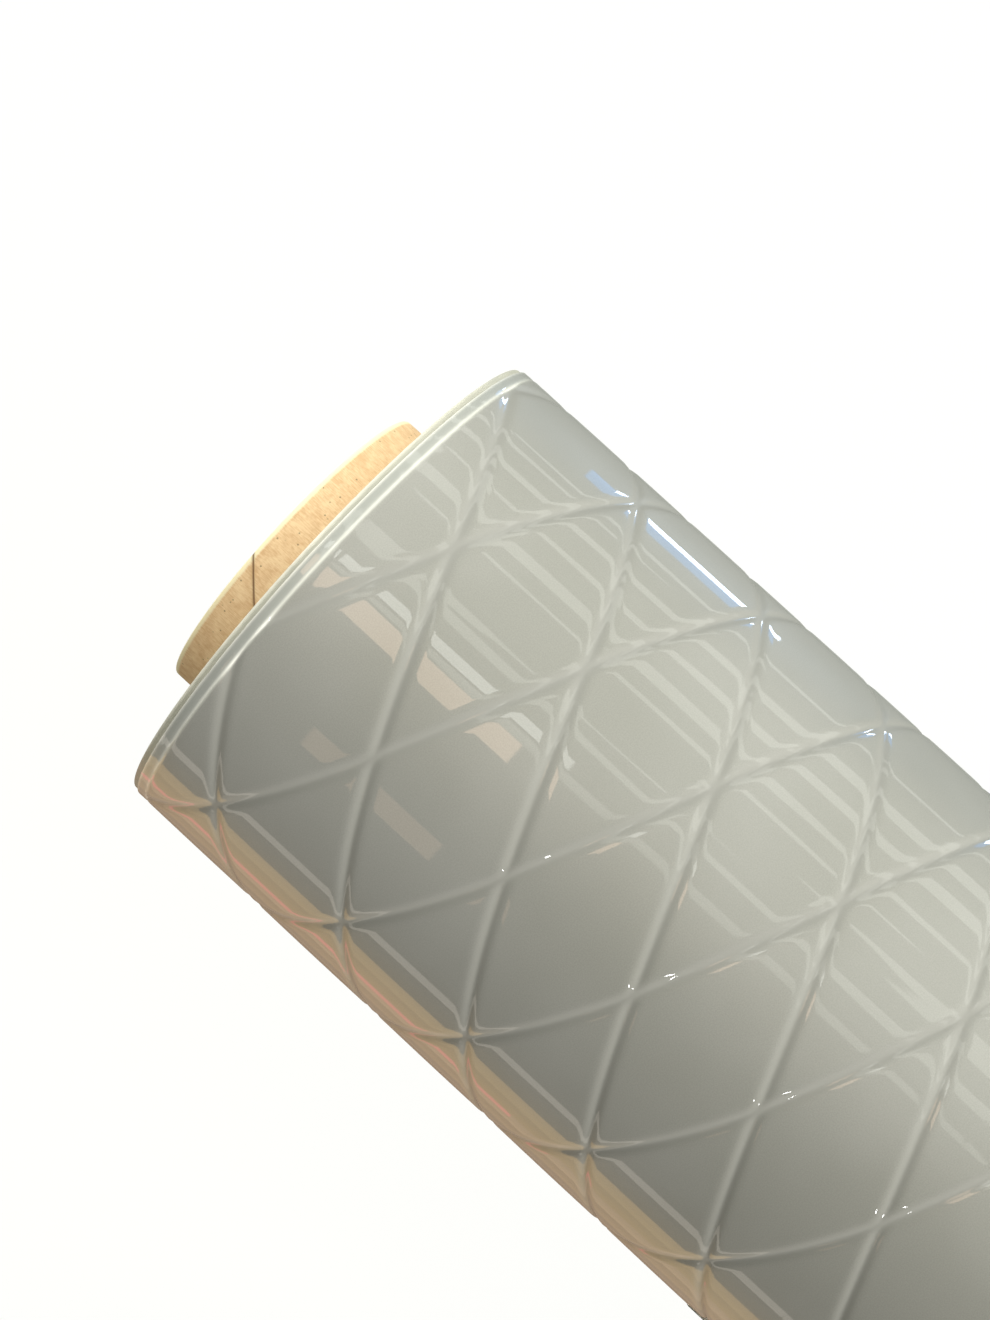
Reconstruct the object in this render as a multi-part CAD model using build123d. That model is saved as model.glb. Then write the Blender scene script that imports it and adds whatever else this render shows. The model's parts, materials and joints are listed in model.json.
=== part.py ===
from build123d import *
import math
import os

os.makedirs("parts", exist_ok=True)

# Roll of glossy lattice-welded sheeting on a spiral-wound cardboard core.
#
# Frame: millimetres, +X along the roll's axis, +Z up, +Y to the rear. The origin is on the axis, at the
# mouth of the core's bore at the near end. Winding angles are in degrees. They start at the rear, at the
# free end's root, and grow towards the free edge, which lies underneath the roll.

# Core: a 3 inch tube of spiral-wound board plies.
BORE_RADIUS = 38.1
PLY_THICKNESS = 0.8
PLY_COUNT = 8
CORE_RADIUS = BORE_RADIUS + PLY_COUNT * PLY_THICKNESS

# Sheeting: a clear face film, a grey prismatic film and a backing film, welded together.
SHEET_WIDTH = 1220.0
FACE_FILM = 0.20
PRISM_FILM = 0.12
BACKING_FILM = 0.18
SHEET_THICKNESS = FACE_FILM + PRISM_FILM + BACKING_FILM
CORE_OVERHANG = 13.0
TELESCOPE = 1.7
CORE_LENGTH = SHEET_WIDTH + 2 * CORE_OVERHANG

# Outermost turn: one turn of a spiral, measured at its outer face.
FRONT_RADIUS = 74.0
FRONT_ANGLE = -180.0
TURN_PITCH = 0.8

# Free end: panels that stand for one flexible sheet, hinged along lines parallel to the axis.
PANEL_COUNT = 7
PANEL_ANGLE = 15.0
FREE_ANGLE = PANEL_COUNT * PANEL_ANGLE
HINGE_SLIT = 0.2

# Tape that fixes the sheet's first edge to the core.
START_TAPE_THICKNESS = 0.12
START_TAPE_WIDTH = 25.0
START_TAPE_ANGLE = 60.0
START_TAPE_FLATS = 8
START_TAPE_LIFT = 0.03

# Tabs of clear tape over the free edge.
TAB_COUNT = 3
TAB_WIDTH = 24.0
TAB_THICKNESS = 0.1
TAB_HOLD_ANGLE = 12.0
TAB_REACH_ANGLE = 11.0
TAB_LIFT = 0.02
TAB_STEP_ANGLE = 3.0
TAB_CLEARANCE = 0.3

POINT_SPACING = 7.5


def outer_radius(angle):
    """Radius of the sheet's outer face at a winding angle in degrees."""
    return FRONT_RADIUS + TURN_PITCH * (angle - FRONT_ANGLE) / 360.0


def wound_point(angle, depth):
    """Point in the cross-section at a winding angle, that deep below the sheet's outer face."""
    radius = outer_radius(angle) - depth
    turned = math.radians(-angle)
    return (radius * math.cos(turned), radius * math.sin(turned))


def wound_curve(first, last, depth):
    """Smooth curve in the cross-section that follows the winding at one depth."""
    steps = max(2, round(abs(last - first) / POINT_SPACING))
    angles = [first + (last - first) * i / steps for i in range(steps + 1)]
    return Spline([wound_point(a, depth) for a in angles])


def wound_band(first, last, top, bottom, start_x, length):
    """Solid strip of sheet between two winding angles and two depths, along the axis."""
    outer = wound_curve(first, last, top)
    inner = wound_curve(first, last, bottom)
    section = make_face([
        outer,
        Line(outer @ 1, inner @ 1),
        inner,
        Line(inner @ 0, outer @ 0),
    ])
    strip = extrude(Plane.YZ * section, length)
    return Pos(start_x, 0, 0) * strip


def tube(inner, outer, length):
    """Round tube along the axis, from its inner radius to its outer one."""
    ring = Circle(outer) - Circle(inner)
    return extrude(Plane.YZ * ring, length)


def core_ply(index):
    """One wound ply of the core, counted from the bore outwards."""
    inner = BORE_RADIUS + index * PLY_THICKNESS
    return tube(inner, inner + PLY_THICKNESS, CORE_LENGTH)


def start_tape():
    """Double-sided tape between the core and the sheet's first edge, laid in narrow flats."""
    spread = math.degrees(START_TAPE_WIDTH / CORE_RADIUS)
    inner = CORE_RADIUS + START_TAPE_LIFT
    outer = CORE_RADIUS + START_TAPE_THICKNESS
    turns = [START_TAPE_ANGLE + spread * (i / START_TAPE_FLATS - 0.5) for i in range(START_TAPE_FLATS + 1)]
    rays = [(math.cos(math.radians(turn)), math.sin(math.radians(turn))) for turn in turns]
    lower = [(inner * y, inner * z) for y, z in rays]
    upper = [(outer * y, outer * z) for y, z in rays]
    section = make_face(Polyline(*lower, *reversed(upper), close=True))
    return Pos(CORE_OVERHANG, 0, 0) * extrude(Plane.YZ * section, SHEET_WIDTH)


def wound_sheet():
    """All turns below the outermost one, as one body of wound sheet with a bore for the core."""
    start = FREE_ANGLE - 360.0
    under_turn = wound_curve(start, 0.0, SHEET_THICKNESS)
    under_free_end = wound_curve(0.0, FREE_ANGLE, TURN_PITCH)
    outline = make_face([
        under_turn,
        Line(under_turn @ 1, under_free_end @ 0),
        under_free_end,
        Line(under_free_end @ 1, under_turn @ 0),
    ])
    section = outline - Circle(CORE_RADIUS + START_TAPE_THICKNESS)
    return Pos(CORE_OVERHANG, 0, 0) * extrude(Plane.YZ * section, SHEET_WIDTH)


def outer_turn_film(top, thickness):
    """One film of the outermost turn, from under the free edge round to the free end's root."""
    slit = slit_angle(0.0)
    start = FREE_ANGLE - 360.0
    return wound_band(start, -slit, top, top + thickness, CORE_OVERHANG + TELESCOPE, SHEET_WIDTH)


def slit_angle(angle):
    """Half of the slit between two panels, as a winding angle in degrees."""
    return math.degrees(HINGE_SLIT / 2 / outer_radius(angle))


def free_end_panel(index):
    """One hinged panel of the free end, counted from its root."""
    first = index * PANEL_ANGLE
    last = first + PANEL_ANGLE
    start = first + slit_angle(first)
    stop = last if index == PANEL_COUNT - 1 else last - slit_angle(last)
    return wound_band(start, stop, 0.0, SHEET_THICKNESS, CORE_OVERHANG + TELESCOPE, SHEET_WIDTH)


def tape_tab(index):
    """One tab of clear tape: stuck on the free end, over the edge's step, and down to the turn below."""
    spacing = SHEET_WIDTH / TAB_COUNT
    start_x = CORE_OVERHANG + TELESCOPE + spacing * (index + 0.5) - TAB_WIDTH / 2
    drop = TURN_PITCH - TAB_CLEARANCE
    levels = [
        (FREE_ANGLE - TAB_HOLD_ANGLE, -TAB_LIFT),
        (FREE_ANGLE - TAB_HOLD_ANGLE / 2, -TAB_LIFT),
        (FREE_ANGLE, -TAB_LIFT),
        (FREE_ANGLE + TAB_STEP_ANGLE, drop),
        (FREE_ANGLE + (TAB_STEP_ANGLE + TAB_REACH_ANGLE) / 2, drop),
        (FREE_ANGLE + TAB_REACH_ANGLE, drop),
    ]
    upper = [wound_point(a, d - TAB_THICKNESS) for a, d in levels]
    lower = [wound_point(a, d) for a, d in levels]
    held_top = ThreePointArc(*upper[0:3])
    step_top = Line(upper[2], upper[3])
    reach_top = ThreePointArc(*upper[3:6])
    held_bottom = ThreePointArc(*lower[0:3])
    step_bottom = Line(lower[2], lower[3])
    reach_bottom = ThreePointArc(*lower[3:6])
    section = make_face([
        held_top, step_top, reach_top,
        Line(upper[5], lower[5]),
        reach_bottom, step_bottom, held_bottom,
        Line(lower[0], upper[0]),
    ])
    return Pos(start_x, 0, 0) * extrude(Plane.YZ * section, TAB_WIDTH)


nodes = {}
for ply in range(PLY_COUNT):
    if ply == 0:
        name = "core_liner_ply"
    elif ply == PLY_COUNT - 1:
        name = "core_surface_ply"
    else:
        name = f"core_body_ply_{ply}"
    nodes[name] = core_ply(ply)

nodes["start_tape"] = start_tape()
nodes["wound_sheet"] = wound_sheet()
nodes["outer_turn_face_film"] = outer_turn_film(0.0, FACE_FILM)
nodes["outer_turn_prism_film"] = outer_turn_film(FACE_FILM, PRISM_FILM)
nodes["outer_turn_backing_film"] = outer_turn_film(FACE_FILM + PRISM_FILM, BACKING_FILM)
for panel in range(PANEL_COUNT):
    nodes[f"free_end_panel_{panel + 1}"] = free_end_panel(panel)
for tab in range(TAB_COUNT):
    nodes[f"tape_tab_{tab + 1}"] = tape_tab(tab)

for name, solid in nodes.items():
    export_step(solid, f"parts/{name}.step")

# The free end's hinge lines run along X at the sheet's outer face.
for panel in range(PANEL_COUNT):
    y, z = wound_point(panel * PANEL_ANGLE, 0.0)
    print(f"hinge {panel + 1}: y {y:.4f} z {z:.4f} opens {PANEL_ANGLE:.0f} degrees")
area = math.pi * (FRONT_RADIUS ** 2 - CORE_RADIUS ** 2)
print(f"sheet wound on the core: about {area / SHEET_THICKNESS / 1000:.1f} m")
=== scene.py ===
"""Looks of a roll of glossy lattice-welded PVC sheeting on a kraft board core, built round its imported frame.

Lengths are metres and angles are degrees, in the frame of the part: +X along the roll, +Z up, +Y to the
rear. A winding angle is measured from the root of the sheet's free end and grows towards its free edge.
"""

import json
import logging
import math
from collections.abc import Iterator
from contextlib import contextmanager
from dataclasses import dataclass
from enum import Enum

import bpy
import numpy as np
from mathutils import Matrix, Vector


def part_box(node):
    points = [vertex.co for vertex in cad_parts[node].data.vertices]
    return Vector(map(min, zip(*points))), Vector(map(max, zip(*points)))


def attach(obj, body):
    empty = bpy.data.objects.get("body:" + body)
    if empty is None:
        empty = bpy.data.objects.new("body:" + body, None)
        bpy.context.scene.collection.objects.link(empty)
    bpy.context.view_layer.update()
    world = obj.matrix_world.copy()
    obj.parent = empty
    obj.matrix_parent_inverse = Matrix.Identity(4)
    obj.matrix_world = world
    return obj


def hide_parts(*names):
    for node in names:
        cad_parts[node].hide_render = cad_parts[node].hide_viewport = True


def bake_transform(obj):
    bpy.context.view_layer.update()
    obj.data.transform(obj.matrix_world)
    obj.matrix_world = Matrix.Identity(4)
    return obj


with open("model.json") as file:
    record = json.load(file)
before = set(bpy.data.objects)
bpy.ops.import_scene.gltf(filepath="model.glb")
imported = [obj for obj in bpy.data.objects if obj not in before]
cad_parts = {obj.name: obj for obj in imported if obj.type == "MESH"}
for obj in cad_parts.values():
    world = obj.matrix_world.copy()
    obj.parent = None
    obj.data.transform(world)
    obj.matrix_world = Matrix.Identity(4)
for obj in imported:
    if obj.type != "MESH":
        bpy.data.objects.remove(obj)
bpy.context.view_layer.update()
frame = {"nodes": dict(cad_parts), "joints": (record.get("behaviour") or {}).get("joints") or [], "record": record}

LOG = logging.getLogger("backdrop_roll")
MM = 0.001
FULL_TURN = 360.0
SHEET_UV = "sheet_uv"
WELD = "weld"
MARGIN = "margin"
PALE = "pale"
SHEET_THICKNESS = 0.5 * MM
START_TAPE_THICKNESS = 0.12 * MM

# Where the core's seams start round the tube, and how far its inner plies are sawn back at the ends.
SURFACE_SEAM_AT = 170.0
SEAM_STAGGER = 67.0
LEAST_SAWN_BACK = 0.05 * MM
SAWN_BACK_STEPS = (0.0, 0.2 * MM, 0.1 * MM)

# Turns between two faces past which their edge stays sharp.
SHEET_CREASE = 40.0
EDGE_CREASE = 50.0

NOISE_LENGTH = 512


# ---------------------------------------------------------------------------------------------------------
# Small tools
# ---------------------------------------------------------------------------------------------------------


def linear(hex_colour: str) -> tuple[float, float, float, float]:
    """Turn an sRGB hex colour into the linear values that a shader takes.

    Args:
        hex_colour: six hex digits, with or without a leading hash.

    Returns:
        Linear red, green, blue and an alpha of 1.
    """
    digits = hex_colour.lstrip("#")
    values = [int(digits[i:i + 2], 16) / 255 for i in (0, 2, 4)]
    curved = [v / 12.92 if v <= 0.04045 else ((v + 0.055) / 1.055) ** 2.4 for v in values]
    return (*curved, 1.0)


def add_node(tree: bpy.types.NodeTree, kind: str, inputs: dict | None = None, **settings) -> bpy.types.Node:
    """Add one shader node.

    Args:
        tree: the node tree that takes it.
        kind: the node's type name.
        inputs: socket name or number, to a value or to the output socket that feeds it.
        settings: the node's own properties.

    Returns:
        The new node.
    """
    node = tree.nodes.new(kind)
    for name, value in settings.items():
        setattr(node, name, value)
    feed(node, inputs or {})
    return node


def feed(node: bpy.types.Node, inputs: dict) -> None:
    """Set or link a node's inputs.

    Args:
        node: the node.
        inputs: socket name or number, to a value or to the output socket that feeds it.
    """
    for name, value in inputs.items():
        if isinstance(value, bpy.types.NodeSocket):
            node.id_data.links.new(value, node.inputs[name])
        else:
            node.inputs[name].default_value = value


def new_material(name: str) -> tuple[bpy.types.Material, bpy.types.NodeTree, bpy.types.Node]:
    """Start a material.

    Args:
        name: the material's name.

    Returns:
        The material, its node tree and its Principled shader.
    """
    material = bpy.data.materials.new(name)
    material.use_nodes = True
    tree = material.node_tree
    return material, tree, tree.nodes["Principled BSDF"]


def pick(*pieces: bpy.types.Object) -> None:
    """Select only these objects and make the first one active.

    Args:
        pieces: the objects.
    """
    bpy.ops.object.select_all(action="DESELECT")
    for piece in pieces:
        piece.select_set(True)
    bpy.context.view_layer.objects.active = pieces[0]


@contextmanager
def editing(piece: bpy.types.Object) -> Iterator[None]:
    """Enter edit mode on one piece with all of it selected, and leave it again.

    Args:
        piece: the mesh object to edit.
    """
    pick(piece)
    bpy.ops.object.mode_set(mode="EDIT")
    bpy.ops.mesh.select_all(action="SELECT")
    yield
    bpy.ops.object.mode_set(mode="OBJECT")


def points_of(piece: bpy.types.Object) -> np.ndarray:
    """Read a mesh's points.

    Args:
        piece: the mesh object.

    Returns:
        Rows of x, y and z.
    """
    co = np.empty(len(piece.data.vertices) * 3, np.float32)
    piece.data.vertices.foreach_get("co", co)
    return co.reshape(-1, 3).astype(float)


def set_points(piece: bpy.types.Object, points: np.ndarray) -> None:
    """Write a mesh's points back.

    Args:
        piece: the mesh object.
        points: rows of x, y and z.
    """
    piece.data.vertices.foreach_set("co", points.astype(np.float32).ravel())
    piece.data.update()


def set_attribute(piece: bpy.types.Object, name: str, values: np.ndarray) -> None:
    """Store one number per point, for a material to read.

    Args:
        piece: the mesh object.
        name: the attribute's name.
        values: one value per point.
    """
    layer = piece.data.attributes.new(name, "FLOAT", "POINT")
    layer.data.foreach_set("value", values.astype(np.float32))


def set_uv(piece: bpy.types.Object, across: np.ndarray, along: np.ndarray) -> None:
    """Give a mesh a UV map in metres.

    Args:
        piece: the mesh object.
        across: the first UV value of each point.
        along: the second UV value of each point.
    """
    corners = np.empty(len(piece.data.loops), np.int32)
    piece.data.loops.foreach_get("vertex_index", corners)
    layer = piece.data.uv_layers.new(name=SHEET_UV)
    uv = np.stack([across[corners], along[corners]], axis=1)
    layer.data.foreach_set("uv", uv.astype(np.float32).ravel())


def flat_grid(name: str, columns: int, rows: int) -> bpy.types.Object:
    """Add a flat grid of one unit each way, from the origin.

    Args:
        name: the new object's name.
        columns: faces along X.
        rows: faces along Y.

    Returns:
        The grid, unturned and unscaled, at the origin.
    """
    bpy.ops.object.select_all(action="DESELECT")
    bpy.ops.mesh.primitive_grid_add(x_subdivisions=columns, y_subdivisions=rows, size=1.0)
    piece = bpy.context.object
    piece.name = name
    piece.data.name = name
    points = points_of(piece)
    points[:, :2] += 0.5
    set_points(piece, points)
    return piece


def cut(piece: bpy.types.Object, point: tuple, normal: tuple, clear: bool = False) -> None:
    """Cut a mesh with a plane in edit mode.

    Args:
        piece: the mesh object.
        point: a point on the plane.
        normal: the plane's normal.
        clear: also delete what lies on the normal's side.
    """
    with editing(piece):
        bpy.ops.mesh.bisect(plane_co=point, plane_no=normal, use_fill=False, clear_outer=clear)


def apply_modifier(piece: bpy.types.Object, kind: str, **settings) -> None:
    """Add a modifier to a piece and apply it.

    Args:
        piece: the mesh object.
        kind: the modifier's type.
        settings: its properties.
    """
    pick(piece)
    modifier = piece.modifiers.new(kind.lower(), kind)
    for name, value in settings.items():
        setattr(modifier, name, value)
    bpy.ops.object.modifier_apply(modifier=modifier.name)


def shade_smooth(piece: bpy.types.Object, angle: float) -> None:
    """Shade a piece smooth, with sharp edges where its faces turn sharply.

    Args:
        piece: the mesh object.
        angle: the turn in degrees past which an edge stays sharp.
    """
    pick(piece)
    bpy.ops.object.shade_smooth_by_angle(angle=math.radians(angle))


def ring_points(along: np.ndarray, reach: np.ndarray, turned: np.ndarray) -> np.ndarray:
    """Place points round the roll's axis.

    Args:
        along: distance along the axis.
        reach: distance from the axis.
        turned: direction round the axis in radians, from the rear towards the top.

    Returns:
        Rows of x, y and z.
    """
    return np.stack([along, reach * np.cos(turned), reach * np.sin(turned)], axis=1)


def ease(share: np.ndarray) -> np.ndarray:
    """Smooth a share from 0 to 1, so that it starts and stops gently."""
    return share * share * (3 - 2 * share)


def soft_noise(values: np.ndarray, seed: int) -> np.ndarray:
    """Smooth one-dimensional noise between 0 and 1, the same on each run.

    Args:
        values: where to read it; one unit is one bump.
        seed: which noise.

    Returns:
        A value for each place.
    """
    table = np.random.default_rng(seed).random(NOISE_LENGTH)
    low = np.floor(values).astype(int)
    part = ease(values - low)
    return table[low % NOISE_LENGTH] * (1 - part) + table[(low + 1) % NOISE_LENGTH] * part


# ---------------------------------------------------------------------------------------------------------
# Finishes
# ---------------------------------------------------------------------------------------------------------


class Finish(Enum):
    """Finishes of the roll, named for what they really are."""

    SHEET = "clear_pvc_over_grey_prismatic_film"
    BACKING = "calendered_pvc_backing"
    TURN_EDGES = "slit_edges_of_wound_pvc"
    KRAFT_SURFACE = "kraft_surface_ply"
    KRAFT_BOARD = "recycled_core_board"
    KRAFT_LINER = "kraft_liner_ply"
    START_TAPE = "double_sided_tissue_tape"
    CLEAR_TAPE = "clear_polypropylene_tape"


@dataclass(frozen=True)
class SheetFinish:
    """Clear plasticised PVC, calendered to a high gloss, welded over a grey prismatic film.

    The eye gets a mirror-like clear surface over a soft silvery grey, with fine ripples along the roll and darker
    weld lines where the films are pressed together. The weld lines' darker colour is partly the duller welded film
    and partly painted shade for the grooves' shaded flanks.
    """

    film: str = "#807F79"
    film_shade: str = "#797871"
    # Weld colour: partly the welded film's own duller grey, partly painted shade that darkens the weld grooves.
    weld: str = "#74736D"
    margin: str = "#84857F"
    pressed: str = "#BCBBB2"
    metallic: float = 0.3
    roughness: float = 0.45
    gloss_roughness: float = 0.02
    weld_gloss: float = 0.75
    pvc_ior: float = 1.53
    ripple_spacing: float = 3.2 * MM   # winding ripples run along the roll, about this far apart
    ripple_length: float = 90.0 * MM
    ripple_height: float = 0.010 * MM
    cloud: float = 71.43 * MM          # size of the soft clouds in the grey film's tone
    cloud_range: tuple = (0.35, 0.65)
    grain: float = 0.35 * MM           # prisms are finer than this, and show as a faint grain
    grain_range: tuple = (0.3, 0.7)
    grain_tone: tuple = (0.94, 1.05)

    def make(self) -> bpy.types.Material:
        """Build the material.

        Returns:
            The material, which reads the sheet's UV map in metres and its weld and margin attributes.
        """
        material, tree, shader = new_material(Finish.SHEET.value)
        uv = add_node(tree, "ShaderNodeUVMap", uv_map=SHEET_UV)
        ripples = add_node(tree, "ShaderNodeMapping", {
            "Vector": uv.outputs["UV"],
            "Scale": (1 / self.ripple_length, 1 / self.ripple_spacing, 1.0),
        })
        ripple = add_node(tree, "ShaderNodeTexNoise", {
            "Vector": ripples.outputs["Vector"], "Scale": 1.0, "Detail": 2.0, "Roughness": 0.45,
        }, noise_dimensions="2D")
        clouds = add_node(tree, "ShaderNodeTexNoise", {
            "Vector": uv.outputs["UV"], "Scale": 1 / self.cloud, "Detail": 3.0, "Roughness": 0.5,
        }, noise_dimensions="2D")
        speckle = add_node(tree, "ShaderNodeTexNoise", {
            "Vector": uv.outputs["UV"], "Scale": 1 / self.grain, "Detail": 1.0,
        }, noise_dimensions="2D")
        tone = add_node(tree, "ShaderNodeMapRange", {
            "Value": clouds.outputs["Fac"], "From Min": self.cloud_range[0], "From Max": self.cloud_range[1],
        })
        body = add_node(tree, "ShaderNodeMix", {
            0: tone.outputs["Result"], 6: linear(self.film), 7: linear(self.film_shade),
        }, data_type="RGBA")
        grained = add_node(tree, "ShaderNodeMapRange", {
            "Value": speckle.outputs["Fac"],
            "From Min": self.grain_range[0], "From Max": self.grain_range[1],
            "To Min": self.grain_tone[0], "To Max": self.grain_tone[1],
        })
        speckled = add_node(tree, "ShaderNodeVectorMath", {
            0: body.outputs[2], "Scale": grained.outputs["Result"],
        }, operation="SCALE")
        weld = add_node(tree, "ShaderNodeAttribute", attribute_name=WELD)
        # Painted shade: the darker weld colour shades the weld grooves, on top of the welded film's own tone.
        weld_shaded = add_node(tree, "ShaderNodeMix", {
            0: weld.outputs["Fac"], 6: speckled.outputs["Vector"], 7: linear(self.weld),
        }, data_type="RGBA")
        margin = add_node(tree, "ShaderNodeAttribute", attribute_name=MARGIN)
        bordered = add_node(tree, "ShaderNodeMix", {
            0: margin.outputs["Fac"], 6: weld_shaded.outputs[2], 7: linear(self.margin),
        }, data_type="RGBA")
        pale = add_node(tree, "ShaderNodeAttribute", attribute_name=PALE)
        colour = add_node(tree, "ShaderNodeMix", {
            0: pale.outputs["Fac"], 6: bordered.outputs[2], 7: linear(self.pressed),
        }, data_type="RGBA")
        bump = add_node(tree, "ShaderNodeBump", {
            "Height": ripple.outputs["Fac"], "Distance": self.ripple_height, "Strength": 1.0,
        })
        lustre = add_node(tree, "ShaderNodeMapRange", {
            "Value": weld.outputs["Fac"], "To Min": self.metallic, "To Max": 0.0,
        })
        gloss = add_node(tree, "ShaderNodeMapRange", {
            "Value": weld.outputs["Fac"], "To Min": 1.0, "To Max": self.weld_gloss,
        })
        feed(shader, {
            "Base Color": colour.outputs[2], "Metallic": lustre.outputs["Result"],
            "Roughness": self.roughness, "IOR": self.pvc_ior, "Normal": bump.outputs["Normal"],
            "Coat Weight": gloss.outputs["Result"], "Coat Roughness": self.gloss_roughness,
            "Coat IOR": self.pvc_ior, "Coat Normal": bump.outputs["Normal"],
        })
        return material


@dataclass(frozen=True)
class PlainPlastic:
    """Calendered or slit plastic: an even colour, a faint cloudiness and a fine satin grain."""

    finish: Finish
    light: str
    dark: str
    roughness: float
    cloud: float = 9.0 * MM
    grain: float = 0.4 * MM
    grain_height: float = 0.01 * MM

    def make(self) -> bpy.types.Material:
        """Build the material.

        Returns:
            The material, on Object coordinates.
        """
        material, tree, shader = new_material(self.finish.value)
        place = add_node(tree, "ShaderNodeTexCoord")
        clouds = add_node(tree, "ShaderNodeTexNoise", {
            "Vector": place.outputs["Object"], "Scale": 1 / self.cloud, "Detail": 3.0,
        })
        colour = add_node(tree, "ShaderNodeMix", {
            0: clouds.outputs["Fac"], 6: linear(self.light), 7: linear(self.dark),
        }, data_type="RGBA")
        grain = add_node(tree, "ShaderNodeTexNoise", {
            "Vector": place.outputs["Object"], "Scale": 1 / self.grain, "Detail": 2.0,
        })
        bump = add_node(tree, "ShaderNodeBump", {
            "Height": grain.outputs["Fac"], "Distance": self.grain_height,
        })
        feed(shader, {
            "Base Color": colour.outputs[2], "Normal": bump.outputs["Normal"], "Roughness": self.roughness,
        })
        return material


@dataclass(frozen=True)
class KraftBoard:
    """Uncoated kraft board, wound wet with glue and dried: warm brown, fibrous, with dark flecks.

    The eye gets a matt, mottled brown with fibres that lie in all directions, and a paler torn edge where
    the tube was cut.
    """

    finish: Finish
    light: str
    dark: str
    core_length: float
    fleck: str = "#6B4A2C"
    cut_edge: str = "#FFF0C8"
    cut_width: float = 1.1 * MM
    raggedness: float = 0.5 * MM
    fibre_length: float = 2.2 * MM
    fibre_width: float = 0.25 * MM
    fibre_lay: tuple = (0.3, 0.2, 0.6)
    mottle: float = 3.0 * MM
    tone_range: tuple = (0.8, 1.2)
    fleck_spacing: float = 2.4 * MM
    fleck_reach: tuple = (0.05, 0.13)  # a fleck's solid core and its faded edge, as shares of the spacing
    fleck_strength: float = 0.7
    fibre_height: float = 0.05 * MM
    roughness: float = 0.82

    def make(self) -> bpy.types.Material:
        """Build the material.

        Returns:
            The material, on Object coordinates, with paler bands at the tube's two cut ends.
        """
        material, tree, shader = new_material(self.finish.value)
        place = add_node(tree, "ShaderNodeTexCoord")
        mottle = add_node(tree, "ShaderNodeTexNoise", {
            "Vector": place.outputs["Object"], "Scale": 1 / self.mottle, "Detail": 5.0, "Roughness": 0.62,
        })
        fibre_place = add_node(tree, "ShaderNodeMapping", {
            "Vector": place.outputs["Object"],
            "Rotation": self.fibre_lay,
            "Scale": (1 / self.fibre_length, 1 / self.fibre_width, 1 / self.fibre_width),
        })
        fibres = add_node(tree, "ShaderNodeTexNoise", {
            "Vector": fibre_place.outputs["Vector"], "Scale": 1.0, "Detail": 4.0, "Distortion": 0.6,
        })
        mixed = add_node(tree, "ShaderNodeMath", {
            0: mottle.outputs["Fac"], 1: fibres.outputs["Fac"],
        }, operation="ADD")
        tone = add_node(tree, "ShaderNodeMapRange", {
            "Value": mixed.outputs[0], "From Min": self.tone_range[0], "From Max": self.tone_range[1],
        })
        board = add_node(tree, "ShaderNodeMix", {
            0: tone.outputs["Result"], 6: linear(self.dark), 7: linear(self.light),
        }, data_type="RGBA")
        dots = add_node(tree, "ShaderNodeTexVoronoi", {
            "Vector": place.outputs["Object"], "Scale": 1 / self.fleck_spacing, "Randomness": 1.0,
        })
        fleck = add_node(tree, "ShaderNodeMapRange", {
            "Value": dots.outputs["Distance"],
            "From Min": self.fleck_reach[0], "From Max": self.fleck_reach[1],
            "To Min": self.fleck_strength, "To Max": 0.0,
        })
        flecked = add_node(tree, "ShaderNodeMix", {
            0: fleck.outputs["Result"], 6: board.outputs[2], 7: linear(self.fleck),
        }, data_type="RGBA")
        split = add_node(tree, "ShaderNodeSeparateXYZ", {"Vector": place.outputs["Object"]})
        half = self.core_length / 2
        from_middle = add_node(tree, "ShaderNodeMath", {
            0: split.outputs["X"], 1: half,
        }, operation="SUBTRACT")
        reach = add_node(tree, "ShaderNodeMath", {0: from_middle.outputs[0]}, operation="ABSOLUTE")
        ragged = add_node(tree, "ShaderNodeMath", {
            0: fibres.outputs["Fac"], 1: self.raggedness, 2: reach.outputs[0],
        }, operation="MULTIPLY_ADD")
        edge = add_node(tree, "ShaderNodeMapRange", {
            "Value": ragged.outputs[0],
            "From Min": half - self.cut_width, "From Max": half - self.cut_width / 2,
        })
        colour = add_node(tree, "ShaderNodeMix", {
            0: edge.outputs["Result"], 6: flecked.outputs[2], 7: linear(self.cut_edge),
        }, data_type="RGBA")
        weld = add_node(tree, "ShaderNodeAttribute", attribute_name=WELD)
        seamed = add_node(tree, "ShaderNodeMix", {
            0: weld.outputs["Fac"], 6: colour.outputs[2], 7: linear(self.fleck),
        }, data_type="RGBA")
        bump = add_node(tree, "ShaderNodeBump", {
            "Height": mixed.outputs[0], "Distance": self.fibre_height, "Strength": 0.8,
        })
        feed(shader, {
            "Base Color": seamed.outputs[2], "Normal": bump.outputs["Normal"], "Roughness": self.roughness,
        })
        return material


@dataclass(frozen=True)
class ClearTape:
    """Clear polypropylene packing tape: a thin film, glossy outside, faintly yellow with its glue."""

    film: str = "#E9E4CF"
    clearness: float = 0.85
    roughness: float = 0.12
    film_ior: float = 1.49
    wrinkle: float = 5.0 * MM
    wrinkle_height: float = 0.02 * MM

    def make(self) -> bpy.types.Material:
        """Build the material.

        Returns:
            The material, on Object coordinates.
        """
        material, tree, shader = new_material(Finish.CLEAR_TAPE.value)
        place = add_node(tree, "ShaderNodeTexCoord")
        creases = add_node(tree, "ShaderNodeTexNoise", {
            "Vector": place.outputs["Object"], "Scale": 1 / self.wrinkle, "Detail": 3.0,
        })
        bump = add_node(tree, "ShaderNodeBump", {
            "Height": creases.outputs["Fac"], "Distance": self.wrinkle_height,
        })
        feed(shader, {
            "Base Color": linear(self.film), "Normal": bump.outputs["Normal"], "Roughness": self.roughness,
            "Transmission Weight": self.clearness, "IOR": self.film_ior,
        })
        return material


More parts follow.
